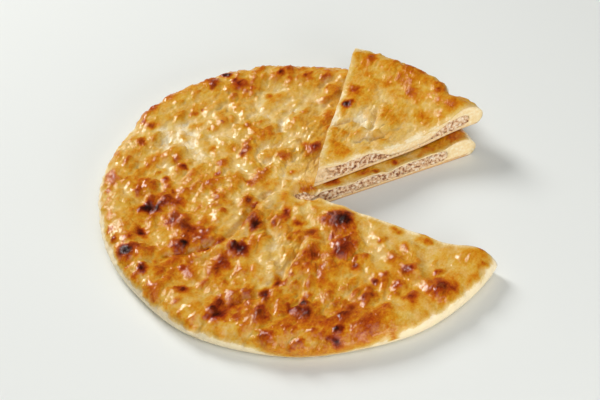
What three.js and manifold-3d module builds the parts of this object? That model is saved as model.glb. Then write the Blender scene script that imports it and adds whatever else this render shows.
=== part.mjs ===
// A flat round chicken pie: thin yeast dough closed round a layer of minced chicken and baked.
// One wedge has been cut out, which opens a gap at +X, and lies on top of the pie beside that gap.
// Millimetres, +Z up. The pie is baked whole first, then cut, as the real one is.
import * as THREE from "three";
import { mergeVertices } from "three/addons/utils/BufferGeometryUtils.js";
import Module from "manifold-3d";

const wasm = await Module();
wasm.setup();

// Driving dimensions. Angles are in degrees, from +X towards +Y as seen from above.
const PIE_AXIS = { x: 5.72, y: 1.9 }; // the pie's middle, set so that the whole stands centred on the origin
const RIM_RADIUS = 161.5; // mean radius of the outline
const TOP_HEIGHT = 15.2; // of the filled part
const RIM_HEIGHT = 19.3; // of the risen dough round the edge
const RIM_WIDTH = 36; // of the raised edge
const RIM_NOSE = { out: 14, level: 8, under: 7 }; // its round side: top arc, widest level, bottom arc
const TOP_DOUGH = 2.2;
const TOP_DOUGH_THINNING = 0.6; // where a hollow presses it down
const BASE_DOUGH = 3.2;
const FILLING_INSET = 20; // mean width of the edge that is dough alone
const FILLING_NOSE = 7; // length of the filling's rounded end
const PLAY = 0.4; // clearance between filling and dough

// Hand-shaped outline: waves round the edge, each with its number of lobes, its depth and where it peaks.
const OUTLINE_WAVES = [
  { lobes: 1, depth: 2, peak: -104 },
  { lobes: 2, depth: 3.6, peak: -26 },
  { lobes: 3, depth: 1.1, peak: -11 },
  { lobes: 4, depth: 1.4, peak: -27 },
  { lobes: 11, depth: 0.6, peak: 8 },
];
const OUTLINE_FLAT = { angle: 156, reach: 30, depth: 4 }; // one stretch is flatter
const FILLING_WAVE = { lobes: 4, depth: 7, peak: -25 }; // the filling comes nearer to the edge in places

// The gap and the slice: the directions of their two cuts and where those meet, from the middle of the pie.
// The gap has opened a little, so it is wider than the slice.
const GAP_CUT = { from: -25.8, to: 25.2, tip: { x: 7.8, y: -5.2 } };
const SLICE_CUT = { from: -25.3, to: 23.2, tip: { x: 0.8, y: 0 } };
const KNIFE = 0.4; // half the width that the knife took
const CRUMBLED_TIP = { x: 4, y: -2, radius: 9 }; // filling that fell out of the corner of the gap

// Where the slice lies: its tip, the turn from where it was cut, and how it bends up over the pie's edge.
const SLICE_TIP = { x: 10.2, y: 3.1, z: 16.3 };
const SLICE_TURN = 52.6;
const SLICE_BEND = { from: 88, to: 142, rise: 4.8 };
const SLICE_EDGE = { corner: 159, middle: 154 }; // how far its edge is from its tip
const SLICE_DENT = { angle: -15.5, reach: 6.5, depth: 7.5 }; // where its edge is pressed in
const PRESS_MARGIN = 12; // how far beside the slice the pie's top is still held down by it

// Relief of the top. A lift below zero is a hollow, and reach is how far from its middle it fades out.
const SWELLS = [
  { lift: 0.7, across: 71, along: 93, phase: 0.6 },
  { lift: 0.5, across: -58, along: 64, phase: 2.1 },
];
const LUMPS = { count: 64, lift: 1.5, reach: 14, turn: 137.5, vary: 1.7 };
const BUBBLES = [
  { angle: -132, away: 54, lift: 2.4, reach: 16 },
  { angle: -125, away: 81, lift: 2, reach: 14 },
  { angle: -127, away: 100, lift: 1.8, reach: 14 },
  { angle: -46, away: 48, lift: 3, reach: 20 },
  { angle: -82, away: 58, lift: 2, reach: 17 },
  { angle: -66, away: 75, lift: 2.4, reach: 17 },
  { angle: -104, away: 128, lift: 1.6, reach: 20 },
  { angle: -153, away: 145, lift: 1.8, reach: 16 },
  { angle: 152, away: 72, lift: 2.2, reach: 15 },
  { angle: 112, away: 42, lift: 2, reach: 15 },
  { angle: 138, away: 86, lift: 1.6, reach: 18 },
  { angle: -26, away: 96, lift: -2.4, reach: 15 },
  { angle: -26, away: 124, lift: -0.8, reach: 24 },
  { angle: -26.5, away: 148, lift: 2, reach: 18 },
  { angle: 14, away: 41, lift: -1.5, reach: 10 },
  { angle: 19, away: 73, lift: -1.9, reach: 12 },
  { angle: 21, away: 105, lift: -1.2, reach: 12 },
];
const FOLDS = [
  { lift: -1.4, reach: 9, path: [[-28, -5], [-45, -34], [-66, -58], [-104, -70]] },
  { lift: 1.9, reach: 12, path: [[-24, -14], [-38, -40], [-58, -62], [-80, -72]] },
  { lift: -1.5, reach: 9, path: [[2, -54], [-16, -95], [-42, -114], [-62, -130], [-84, -148]] },
  { lift: -1.5, reach: 11, path: [[41, -19], [53, -59], [75, -90], [96, -114], [116, -132]] },
  { lift: 1.8, reach: 9, path: [[-63, 120], [-48, 93], [-42, 72], [-39, 30]] },
  { lift: -1.4, reach: 12, path: [[-12, 77], [-20, 55], [-28, 36]] },
  { lift: -1.2, reach: 9, path: [[-92, 76], [-89, 56], [-89, 40]] },
  { lift: 1.8, reach: 10, path: [[-31, -13], [-20, -9], [-8, -11]] },
];

// The slice's own relief, given where the slice was cut from. The knife crushed one of its edges.
const SLICE_BUBBLES = [
  { angle: -25, away: 90, lift: -4.6, reach: 41 },
  { angle: 4, away: 70, lift: -1.6, reach: 26 },
  { angle: -4, away: 122, lift: 1.4, reach: 20 },
  { angle: 17, away: 96, lift: 1.6, reach: 18 },
  { angle: -21, away: 143, lift: 2.4, reach: 22 },
];
const SLICE_FOLDS = [{ lift: 1.5, reach: 8, path: [[66, 23], [61, 2], [74, -11], [84, -18]] }];

// How finely the round shapes are divided.
const PIE_STEPS = 120;
const SLICE_STEPS = 210; // for the whole turn, of which the slice is a seventh
const CRUST_RINGS = { under: 3, nose: 5, slope: 3, top: 14 };
const FILLING_RINGS = { nose: 6, top: 10 };
const FOLD_POINTS = 40;

const { degToRad: degrees, lerp, smoothstep } = THREE.MathUtils;

// 1 at the middle of a feature, easing to 0 at its reach.
const fade = (distance, reach) => smoothstep(1 - distance / reach, 0, 1);

const waveSum = (waves, angle) =>
  waves.reduce((sum, w) => sum + w.depth * Math.cos(w.lobes * (angle - degrees(w.peak))), 0);
const fillingInset = (angle) => FILLING_INSET - waveSum([FILLING_WAVE], angle);

function outlineRadius(angle) {
  const aside = Math.abs(angle - degrees(OUTLINE_FLAT.angle));
  const flat = OUTLINE_FLAT.depth * fade(aside, degrees(OUTLINE_FLAT.reach));
  return RIM_RADIUS + waveSum(OUTLINE_WAVES, angle) - flat;
}

// The slice's edge is flatter than the pie's: it draws in between its corners.
function sliceRadius(angle) {
  const { from, to } = SLICE_CUT;
  const aside = (2 * angle - degrees(from + to)) / degrees(to - from);
  const dent = SLICE_DENT.depth * fade(Math.abs(angle - degrees(SLICE_DENT.angle)), degrees(SLICE_DENT.reach));
  return lerp(SLICE_EDGE.middle, SLICE_EDGE.corner, Math.min(aside * aside, 1)) - dent;
}

// Low waves of the filling under the dough, which the dough follows.
function swell(x, y) {
  let sum = 0;
  for (const s of SWELLS) {
    sum += s.lift * Math.sin((2 * Math.PI * x) / s.across + s.phase) * Math.cos((2 * Math.PI * y) / s.along);
  }
  return sum;
}

// Steam bubbles and sinks spread over the whole top like seeds in a sunflower, each with its own height.
function spreadLumps() {
  const lumps = [];
  for (let i = 0; i < LUMPS.count; i++) {
    lumps.push({
      angle: i * LUMPS.turn,
      away: (RIM_RADIUS - FILLING_INSET) * Math.sqrt((i + 0.5) / LUMPS.count),
      lift: LUMPS.lift * Math.sin(LUMPS.vary * i),
      reach: LUMPS.reach,
    });
  }
  return lumps;
}

const placeOf = ({ angle, away }) =>
  new THREE.Vector2(away * Math.cos(degrees(angle)), away * Math.sin(degrees(angle)));

// A function of x and y that gives the height of a set of bubbles and folds.
function reliefOf(bubbles, folds) {
  const rounds = bubbles.map((b) => ({ ...b, middle: placeOf(b) }));
  const creases = folds.map((f) => {
    const curve = new THREE.SplineCurve(f.path.map(([x, y]) => new THREE.Vector2(x, y)));
    return { ...f, points: curve.getSpacedPoints(FOLD_POINTS) };
  });
  const at = new THREE.Vector2();
  return (x, y) => {
    at.set(x, y);
    let sum = 0;
    for (const b of rounds) sum += b.lift * fade(at.distanceTo(b.middle), b.reach);
    for (const c of creases) {
      const nearest = Math.min(...c.points.map((p) => at.distanceTo(p)));
      sum += c.lift * fade(nearest, c.reach);
    }
    return sum;
  };
}

// How far a place on the pie's top is pressed by the slice on it: 1 under it, 0 well clear of it.
function pressed(x, y) {
  const away = new THREE.Vector2(x - SLICE_TIP.x, y - SLICE_TIP.y);
  const { from, to } = SLICE_CUT;
  const turn = Math.abs(away.angle() - degrees((from + to) / 2 + SLICE_TURN));
  if (turn > Math.PI / 2) return 0;
  const aside = away.length() * Math.sin(turn - degrees((to - from) / 2));
  return fade(Math.max(aside, 0), PRESS_MARGIN);
}

// Section of the whole pie, from the middle of its base round the edge to the middle of its top.
function crustSection() {
  const { under, out, level } = RIM_NOSE;
  const base = [0, 0.35, 0.7].map((share) => new THREE.Vector2(RIM_RADIUS * share, 0));
  const arc = (depth, height, from, to) =>
    new THREE.EllipseCurve(RIM_RADIUS - depth, level, depth, height, from, to);
  const lower = arc(under, level, -Math.PI / 2, 0).getPoints(CRUST_RINGS.under);
  const upper = arc(out, RIM_HEIGHT - level, 0, Math.PI / 2).getPoints(CRUST_RINGS.nose).slice(1);
  const crest = RIM_RADIUS - out;
  const foot = RIM_RADIUS - RIM_WIDTH;
  const slope = [];
  for (let i = 1; i <= CRUST_RINGS.slope; i++) {
    const r = lerp(crest, foot, i / CRUST_RINGS.slope);
    slope.push(new THREE.Vector2(r, lerp(RIM_HEIGHT, TOP_HEIGHT, fade(r - foot, crest - foot))));
  }
  return [...base, ...lower, ...upper, ...slope, ...ringsInwards(foot, TOP_HEIGHT, CRUST_RINGS.top)];
}

// Section of the filling, or of the hollow that it lies in, which is larger by the given play.
function fillingSection(play) {
  const low = BASE_DOUGH - play;
  const high = TOP_HEIGHT - TOP_DOUGH + play;
  const end = RIM_RADIUS - FILLING_INSET + play;
  const shoulder = end - FILLING_NOSE;
  const base = [0, end / 2].map((r) => new THREE.Vector2(r, low));
  const nose = new THREE.EllipseCurve(
    shoulder, (low + high) / 2, FILLING_NOSE, (high - low) / 2, -Math.PI / 2, Math.PI / 2,
  );
  return [...base, ...nose.getPoints(FILLING_RINGS.nose), ...ringsInwards(shoulder, high, FILLING_RINGS.top)];
}

// Points at one height from just inside the given radius to the middle.
function ringsInwards(radius, height, count) {
  const points = [];
  for (let i = count - 1; i >= 0; i--) points.push(new THREE.Vector2((radius * i) / count, height));
  return points;
}

// A section turned round the pie's middle, with every corner then moved by shape(corner, angle).
function turned(section, steps, shape) {
  const geometry = new THREE.LatheGeometry(section, steps).rotateX(Math.PI / 2);
  const position = geometry.getAttribute("position");
  const corner = new THREE.Vector3();
  for (let i = 0; i < position.count; i++) {
    corner.fromBufferAttribute(position, i);
    shape(corner, Math.atan2(corner.y, corner.x));
    position.setXYZ(i, corner.x, corner.y, corner.z);
  }
  return solidOf(geometry);
}

function widen(corner, factor) {
  corner.x *= factor;
  corner.y *= factor;
}

// Whole pie with the given relief: its outside, the hollow in it and the filling, all as solids.
// outline(angle) is its radius, press(x, y) how far a place is held down, bend(corner) how far it is bent up.
function bakedPie({ outline, relief, steps, press = () => 0, bend = () => 0 }) {
  const held = (corner, rise) => rise - Math.max(rise, 0) * press(corner.x, corner.y);
  const outside = turned(crustSection(), steps, (corner, angle) => {
    widen(corner, outline(angle) / RIM_RADIUS);
    const rise = held(corner, swell(corner.x, corner.y) + relief(corner.x, corner.y));
    corner.z += smoothstep(corner.z, RIM_NOSE.level, TOP_HEIGHT) * rise + bend(corner);
  });
  const inside = (play) =>
    turned(fillingSection(play), steps / 2, (corner, angle) => {
      widen(corner, (outline(angle) - fillingInset(angle)) / (RIM_RADIUS - FILLING_INSET));
      const dent = Math.min(relief(corner.x, corner.y) + TOP_DOUGH_THINNING, 0);
      const rise = held(corner, swell(corner.x, corner.y) + dent);
      corner.z += smoothstep(corner.z, BASE_DOUGH, TOP_HEIGHT - TOP_DOUGH) * rise + bend(corner);
    });
  return { outside, hollow: inside(PLAY), filling: inside(0) };
}

// The wedge between two cuts, drawn in by the given margin.
function wedge({ from, to, tip }, margin) {
  const half = degrees((to - from) / 2);
  const start = margin / Math.sin(half);
  const far = { x: start + 2 * RIM_RADIUS * Math.cos(half), y: 2 * RIM_RADIUS * Math.sin(half) };
  const outline = new THREE.Shape();
  outline.moveTo(start, 0);
  outline.lineTo(far.x, -far.y);
  outline.lineTo(far.x, far.y);
  const block = new THREE.ExtrudeGeometry(outline, { depth: 4 * RIM_HEIGHT, bevelEnabled: false });
  block.translate(0, 0, -RIM_HEIGHT).rotateZ(degrees((from + to) / 2));
  return solidOf(block.translate(tip.x, tip.y, 0));
}

function crumbledTip() {
  const { x, y, radius } = CRUMBLED_TIP;
  const loss = new THREE.CylinderGeometry(radius, radius, 4 * RIM_HEIGHT, 16);
  return solidOf(loss.rotateX(Math.PI / 2).translate(x, y, 0));
}

function solidOf(geometry) {
  geometry.deleteAttribute("normal");
  geometry.deleteAttribute("uv");
  const merged = mergeVertices(geometry, 1e-3);
  const mesh = new wasm.Mesh({
    numProp: 3,
    vertProperties: merged.getAttribute("position").array,
    triVerts: new Uint32Array(merged.index.array),
  });
  return new wasm.Manifold(mesh);
}

function meshOf(name, solid, material) {
  const { vertProperties, triVerts } = solid.getMesh();
  const geometry = new THREE.BufferGeometry()
    .setAttribute("position", new THREE.BufferAttribute(vertProperties, 3))
    .setIndex(new THREE.BufferAttribute(triVerts, 1));
  geometry.computeVertexNormals();
  const mesh = new THREE.Mesh(geometry, material);
  mesh.name = name;
  return mesh;
}

const bakedDough = () => new THREE.MeshStandardMaterial({ color: 0xcf9240, roughness: 0.35, metalness: 0 });
const mincedChicken = () => new THREE.MeshStandardMaterial({ color: 0xc29a78, roughness: 0.6, metalness: 0 });

// The pie with the wedge cut out of it.
function cutPie() {
  const relief = reliefOf([...spreadLumps(), ...BUBBLES], FOLDS);
  const whole = bakedPie({ outline: outlineRadius, relief, steps: PIE_STEPS, press: pressed });
  const gap = wedge(GAP_CUT, -KNIFE);
  const pie = new THREE.Group();
  pie.add(meshOf("pie_crust", whole.outside.subtract(gap).subtract(whole.hollow), bakedDough()));
  pie.add(meshOf("pie_filling", whole.filling.subtract(gap).subtract(crumbledTip()), mincedChicken()));
  return pie;
}

// The slice, shaped where it was cut from, bent as it lies over the pie's edge, then turned onto the pie.
function looseSlice() {
  const bend = ({ x, y }) => SLICE_BEND.rise * smoothstep(Math.hypot(x, y), SLICE_BEND.from, SLICE_BEND.to);
  const relief = reliefOf([...spreadLumps(), ...SLICE_BUBBLES], SLICE_FOLDS);
  const whole = bakedPie({ outline: sliceRadius, relief, steps: SLICE_STEPS, bend });
  const knife = wedge(SLICE_CUT, KNIFE);
  const slice = new THREE.Group();
  slice.add(meshOf("slice_crust", whole.outside.intersect(knife).subtract(whole.hollow), bakedDough()));
  slice.add(meshOf("slice_filling", whole.filling.intersect(knife), mincedChicken()));
  slice.position.copy(SLICE_TIP);
  slice.rotation.z = degrees(SLICE_TURN);
  return slice;
}

const chickenPie = new THREE.Group();
chickenPie.position.set(PIE_AXIS.x, PIE_AXIS.y, 0);
chickenPie.add(cutPie(), looseSlice());

const part = new THREE.Group();
part.add(chickenPie);
export default part;
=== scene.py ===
# %% [markdown]
# # A flat chicken pie with one slice lifted out
#
# The real pie is one ball of soft yeast dough, closed round minced chicken like a purse, pressed flat by
# hand and baked in a very hot oven. Steam blisters the thin top, the blisters brown first, and warm
# butter is brushed over it. One wedge has then been cut out and laid on top, beside its gap. The solid
# frame is loaded first, and every piece here is a finer skin of one of its solids, in its place.

# %% Load the frame
import math

import bmesh
import bpy
import numpy as np
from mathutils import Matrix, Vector, noise
from mathutils.kdtree import KDTree


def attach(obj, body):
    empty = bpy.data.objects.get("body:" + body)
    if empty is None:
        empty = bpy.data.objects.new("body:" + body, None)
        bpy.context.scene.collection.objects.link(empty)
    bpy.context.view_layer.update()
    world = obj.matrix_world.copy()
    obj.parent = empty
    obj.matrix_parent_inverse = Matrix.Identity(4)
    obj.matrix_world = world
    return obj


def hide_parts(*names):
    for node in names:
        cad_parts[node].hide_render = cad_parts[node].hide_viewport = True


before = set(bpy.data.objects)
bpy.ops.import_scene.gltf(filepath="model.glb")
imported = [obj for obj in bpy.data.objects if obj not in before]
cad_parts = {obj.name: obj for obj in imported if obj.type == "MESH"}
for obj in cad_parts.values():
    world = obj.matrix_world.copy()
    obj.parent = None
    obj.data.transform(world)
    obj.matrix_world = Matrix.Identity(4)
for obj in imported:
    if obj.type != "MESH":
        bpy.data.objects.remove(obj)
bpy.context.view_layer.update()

MM = 0.001

# %% [markdown]
# ## Camera, floor and light
#
# The pie is seen from about 45 degrees above, with a long lens from a little over a metre, so that it is
# hardly foreshortened. A soft window light stands behind it on the left: on a buttered crust it is the
# light that the wrinkles mirror, so its place decides which slopes shine. Two pale cards in front and the
# pale room fill the shadows. A brighter room would lay a grey veil of reflections over the browns.

# %% Camera, floor and light
CAMERA_AIM = Vector((5.12, 6.4, 0)) * MM
CAMERA_HEIGHT = math.radians(45.6)
CAMERA_AWAY = 1.150
CAMERA_LENS, CAMERA_SENSOR = 85, 36
LIGHTS = {  # angle aside, height, metres away, size in metres, watts
    "key_window": (44, 36, 2.3, 0.85, 45.0),
    "front_card": (-170, 62, 1.7, 1.2, 10.5),
    "low_card": (-145, 12, 1.4, 0.9, 11.5),
}
ROOM_COLOUR = (1.0, 0.99, 0.975, 1)
ROOM_GLOW = 0.145
FLOOR_SIZE = 6
FLOOR_LEVEL = -0.0002  # just clear of the base


def from_aim(aside, height, away):
    """A place round the camera's aim: aside is the angle from straight behind, towards the left."""
    level = away * math.cos(height)
    return CAMERA_AIM + Vector((-level * math.sin(aside), level * math.cos(aside), away * math.sin(height)))


def look_at_pie(thing):
    thing.rotation_euler = (CAMERA_AIM - thing.location).to_track_quat("-Z", "Y").to_euler()


bpy.ops.object.select_all(action="DESELECT")
bpy.ops.object.camera_add(location=from_aim(math.pi, CAMERA_HEIGHT, CAMERA_AWAY))
camera = bpy.context.object
look_at_pie(camera)
camera.data.lens = CAMERA_LENS
camera.data.sensor_width = CAMERA_SENSOR
bpy.context.scene.camera = camera

for name, (aside, height, away, size, watts) in LIGHTS.items():
    place = from_aim(math.radians(aside), math.radians(height), away)
    bpy.ops.object.light_add(type="AREA", location=place)
    light = bpy.context.object
    light.name = name
    look_at_pie(light)
    light.data.size = size
    light.data.energy = watts

room = bpy.data.worlds.new("pale_room")
bpy.context.scene.world = room
room.use_nodes = True
glow = room.node_tree.nodes["Background"].inputs
glow["Color"].default_value = ROOM_COLOUR
glow["Strength"].default_value = ROOM_GLOW
bpy.context.scene.view_settings.view_transform = "Standard"

bpy.ops.mesh.primitive_plane_add(size=FLOOR_SIZE, location=(0, 0, FLOOR_LEVEL))
floor = bpy.context.object
floor.name = "floor"
print("camera at", [round(x, 3) for x in camera.location])

# %% [markdown]
# ## Small tools
#
# Operators work on what is selected, so each step starts from a clean selection. Heights and browning
# follow formulas, so the vertices' places are also read into an array and written back.

# %% Small tools
OFF_GRID = 0.37  # the noise is 0 on whole numbers, so it is read beside them


def activate(thing):
    bpy.ops.object.select_all(action="DESELECT")
    thing.select_set(True)
    bpy.context.view_layer.objects.active = thing


def places_of(piece):
    """The vertices' places as rows of x, y, z in millimetres."""
    flat = np.empty(3 * len(piece.data.vertices))
    piece.data.vertices.foreach_get("co", flat)
    return flat.reshape(-1, 3) / MM


def put_places(piece, places):
    piece.data.vertices.foreach_set("co", (places * MM).ravel())
    piece.data.update()


def read_value(piece, name):
    values = np.empty(len(piece.data.vertices))
    piece.data.attributes[name].data.foreach_get("value", values)
    return values


def write_value(piece, name, values):
    layer = piece.data.attributes.get(name) or piece.data.attributes.new(name, "FLOAT", "POINT")
    layer.data.foreach_set("value", values)


def fade(distance, reach):
    """1 at the middle of a feature, easing to 0 at its reach, as smooth proportional editing does."""
    near = np.clip(1 - distance / reach, 0, 1)
    return near * near * (3 - 2 * near)


def smooth_step(value, low, high):
    share = np.clip((value - low) / (high - low), 0, 1)
    return share * share * (3 - 2 * share)


def patchy(places, size):
    """Slow noise from about -1 to 1, with patches of that size in millimetres."""
    return np.array([noise.noise((x / size, y / size, OFF_GRID)) for x, y, _ in places])


def uneven(places, middle, vary, size, low, high):
    """A strength that varies in patches of that size, between its limits."""
    return np.clip(middle + vary * patchy(places, size), low, high)


def polar(angle, away):
    return np.array([away * math.cos(math.radians(angle)), away * math.sin(math.radians(angle))])


def from_spot(places, spot):
    """How far each place is from a spot, seen from above."""
    return np.hypot(*(places[:, :2] - spot).T)


def near_spot(places, angle, away, reach):
    """1 at a spot, easing to 0 at that reach from it."""
    return fade(from_spot(places, polar(angle, away)), reach)


def beside_cut(places, reach, tip, *angles):
    """1 along the cuts that leave the tip at those angles, easing to 0 at that reach from them."""
    flat = places[:, :2] - tip
    near = np.zeros(len(places))
    for angle in angles:
        aside = np.abs(flat @ polar(angle + 90, 1))
        near = np.maximum(near, fade(aside, reach) * (flat @ polar(angle, 1) > 0))
    return near


# %% [markdown]
# ## The section of the dough
#
# Cut through the middle, the dough is a thin C: a base, a fat round edge and a thin top, with the filling
# between. Its outside and its inside are each drawn as a line, by extruding one vertex from point to
# point, and the two lines are bridged with a few rows between them. The rows give the cut faces vertices
# for crumb.

# %% Sizes of the section, in millimetres
RIM_RADIUS = 161.5
TOP_HEIGHT = 15.2
RIM_HEIGHT = 19.3
RIM_WIDTH = 36
NOSE_OUT = 14
NOSE_LEVEL = 8
NOSE_UNDER = 7
BASE_DOUGH = 2.3
TOP_DOUGH = 2.2
BARE_EDGE = 20
FILLING_END = RIM_RADIUS - BARE_EDGE
FILLING_NOSE = 7
CRUMB_ROWS = 4
OUTSIDE_POINTS = {"base": 10, "under": 7, "nose": 14, "slope": 17, "top": 96}
INSIDE_SHARE = 3.4  # points of the outside for each point of the inside


def oval(middle, width, height, start, stop, count):
    turn = np.radians(np.linspace(start, stop, count, endpoint=False))
    return np.stack([middle[0] + width * np.cos(turn), middle[1] + height * np.sin(turn)], 1)


def level_line(start, stop, height, count, end=False):
    radii = np.linspace(start, stop, count, endpoint=end)
    return np.stack([radii, np.full(len(radii), height)], 1)


def outside_line(points):
    """Radius and height from the middle of the base, round the edge, to the middle of the top."""
    crest = RIM_RADIUS - NOSE_OUT
    foot = RIM_RADIUS - RIM_WIDTH
    slope = level_line(crest, foot, TOP_HEIGHT, points["slope"])
    slope[:, 1] += (RIM_HEIGHT - TOP_HEIGHT) * fade(crest - slope[:, 0], crest - foot)
    under = (RIM_RADIUS - NOSE_UNDER, NOSE_LEVEL)
    over = (crest, NOSE_LEVEL)
    return np.concatenate([
        level_line(0, RIM_RADIUS - NOSE_UNDER, 0, points["base"]),
        oval(under, NOSE_UNDER, NOSE_LEVEL, -90, 0, points["under"]),
        oval(over, NOSE_OUT, RIM_HEIGHT - NOSE_LEVEL, 0, 90, points["nose"]),
        slope,
        level_line(foot, 0, TOP_HEIGHT, points["top"] + 1, end=True),
    ])


def inside_line(points):
    """The hollow that the filling lies in, drawn the same way round."""
    low, high = BASE_DOUGH, TOP_HEIGHT - TOP_DOUGH
    shoulder = FILLING_END - FILLING_NOSE
    middle = (shoulder, (low + high) / 2)

    def few(*names):
        return max(3, round(sum(points[n] for n in names) / INSIDE_SHARE))

    return np.concatenate([
        level_line(0, shoulder, low, few("base")),
        oval(middle, FILLING_NOSE, (high - low) / 2, -90, 90, few("under", "nose", "slope")),
        level_line(shoulder, 0, high, few("top") + 1, end=True),
    ])


def draw_line(points):
    """In edit mode: one vertex on the first point, extruded on to each of the others."""
    bpy.ops.mesh.primitive_plane_add(size=MM, location=points[0])
    bpy.ops.mesh.merge(type="CENTER")
    for here, there in zip(points, points[1:]):
        bpy.ops.mesh.extrude_region_move(TRANSFORM_OT_translate={"value": there - here})


def at_angle(line, angle):
    return [Vector((*polar(angle, radius), height)) * MM for radius, height in line]


# %% [markdown]
# ## Spinning the section
#
# Spin sweeps a filled section round the axis and leaves its two ends closed, which are the two cut faces.
# Spinning in hundreds of steps is slow, so it turns in wide steps and the edges along the sweep are then
# subdivided. Every vertex keeps how deep it lies in the dough: 0 on the skin, 1 on the filling's side.

# %% Spin a ring of dough
SPINS = {"pie_crust": 87, "pie_filling": 60, "slice_crust": 22, "slice_filling": 20}
CRUST_CUTS, FILLING_CUTS = 5, 1
SAME_PLACE = 0.004  # millimetres within which two vertices are one
SAME_LEVEL = 0.01


def dough_ring(name, start, turn, spins, points):
    outside = at_angle(outside_line(points), start)
    inside = at_angle(inside_line(points), start)
    bpy.ops.object.select_all(action="DESELECT")
    bpy.ops.mesh.primitive_plane_add(size=MM)
    piece = bpy.context.object
    piece.name = name
    bpy.ops.object.mode_set(mode="EDIT")
    bpy.ops.mesh.select_mode(type="VERT")
    bpy.ops.mesh.delete(type="VERT")
    draw_line(outside)
    bpy.ops.mesh.select_all(action="DESELECT")
    draw_line(inside)
    bpy.ops.object.mode_set(mode="OBJECT")
    write_value(piece, "depth", np.repeat([0.0, 1.0], [len(outside), len(inside)]))
    bpy.ops.object.mode_set(mode="EDIT")
    bpy.ops.mesh.select_mode(type="EDGE")
    bpy.ops.mesh.select_all(action="SELECT")
    bpy.ops.mesh.bridge_edge_loops(number_cuts=CRUMB_ROWS, interpolation="LINEAR")
    sweep(piece, turn, spins, CRUST_CUTS)
    return piece


def sweep(piece, turn, spins, cuts):
    """In edit mode: spins the section that is there, then subdivides along the sweep."""
    bpy.ops.mesh.select_all(action="SELECT")
    bpy.ops.mesh.spin(steps=spins, angle=-math.radians(turn), center=(0, 0, 0), axis=(0, 0, 1))
    bpy.ops.mesh.select_all(action="SELECT")
    bpy.ops.mesh.remove_doubles(threshold=SAME_PLACE * MM)
    bpy.ops.mesh.select_all(action="DESELECT")
    cage = bmesh.from_edit_mesh(piece.data)
    for edge in cage.edges:
        one, other = (v.co for v in edge.verts)
        level = abs(one.z - other.z) < SAME_LEVEL * MM
        edge.select_set(level and abs(one.xy.length - other.xy.length) < SAME_LEVEL * MM)
    bmesh.update_edit_mesh(piece.data)
    bpy.ops.mesh.subdivide(number_cuts=cuts)
    bpy.ops.mesh.select_all(action="SELECT")
    bpy.ops.mesh.normals_make_consistent(inside=False)
    bpy.ops.object.mode_set(mode="OBJECT")


# %% Spin the pie's crust
GAP_FROM, GAP_TO = -25.8, 25.2  # angles of the two cuts
PIE_SWEEP = 360 - (GAP_TO - GAP_FROM)
GAP_TIP = np.array([7.8, -5.2])  # where they meet, from the pie's middle
GAP_CUTS = (GAP_TIP, GAP_FROM, GAP_TO)
pie_crust = dough_ring("pie_crust_dough", GAP_TO, PIE_SWEEP, SPINS["pie_crust"], OUTSIDE_POINTS)
print("pie crust:", len(pie_crust.data.vertices), "vertices", len(pie_crust.data.polygons), "faces")

# %% [markdown]
# ## A hand-pressed outline
#
# The round is pressed out by hand, so its outline wanders by a few millimetres. A few waves round the
# edge give it: the skin is widened by the outline, the hollow by the outline less the width of the bare
# edge. The ring was spun round the corner of the gap, a little off the middle, so the outline is measured
# from it.

# %% Hand-pressed outline
OUTLINE_WAVES = (  # lobes, depth, peak
    (1, 2.0, -104), (2, 3.6, -26), (3, 1.1, -11), (4, 1.4, -27), (11, 0.6, 8),
)
OUTLINE_FLAT = {"angle": 156, "reach": 30, "depth": 4}
FILLING_WAVE = (4, 7.0, -25)
OUTLINE_ROUNDS = 4  # each brings the outline nearer


def wave(turn, lobes, depth, peak):
    return depth * np.cos(lobes * (turn - math.radians(peak)))


def pie_outline(turn):
    aside = np.abs(np.angle(np.exp(1j * (turn - math.radians(OUTLINE_FLAT["angle"])))))
    flat = OUTLINE_FLAT["depth"] * fade(aside, math.radians(OUTLINE_FLAT["reach"]))
    return RIM_RADIUS + sum(wave(turn, *w) for w in OUTLINE_WAVES) - flat


def outline_from_gap(turn):
    """The same outline, as far as it is from the corner of the gap."""
    ahead = np.stack([np.cos(turn), np.sin(turn)], 1)
    far = np.full(len(turn), float(RIM_RADIUS))
    for _ in range(OUTLINE_ROUNDS):
        spot = GAP_TIP + far[:, None] * ahead
        far += pie_outline(np.arctan2(spot[:, 1], spot[:, 0])) - np.hypot(spot[:, 0], spot[:, 1])
    return far


def filling_outline(turn, outline):
    return outline(turn) - BARE_EDGE + wave(turn, *FILLING_WAVE)


def press_out(piece, outline, depth, tip=(0, 0)):
    """Widens skin and hollow, each to its own outline, then moves the corner of the ring to its tip."""
    places = places_of(piece)
    turn = np.arctan2(places[:, 1], places[:, 0])
    skin = outline(turn) / RIM_RADIUS
    hollow = filling_outline(turn, outline) / FILLING_END
    places[:, :2] *= (skin + (hollow - skin) * depth)[:, None]
    places[:, :2] += tip
    put_places(piece, places)
    return places


# %% Press out the pie
pie_depth = read_value(pie_crust, "depth")
pie_level = press_out(pie_crust, outline_from_gap, pie_depth, GAP_TIP)
print("pie across:", np.ptp(pie_level, axis=0).round(1), "mm")

# %% [markdown]
# ## Blisters and folds
#
# Steam lifts the thin top into blisters and the dough folds where it was gathered. By hand this is
# proportional editing: pick a vertex, or a row of them along a fold, and lift it with a smooth falloff.
# The base and the hollow are hidden meanwhile, so that only the top moves. Short crimps stand where the
# butter catches the window, each with its crest a little to the right of the glint.

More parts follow.
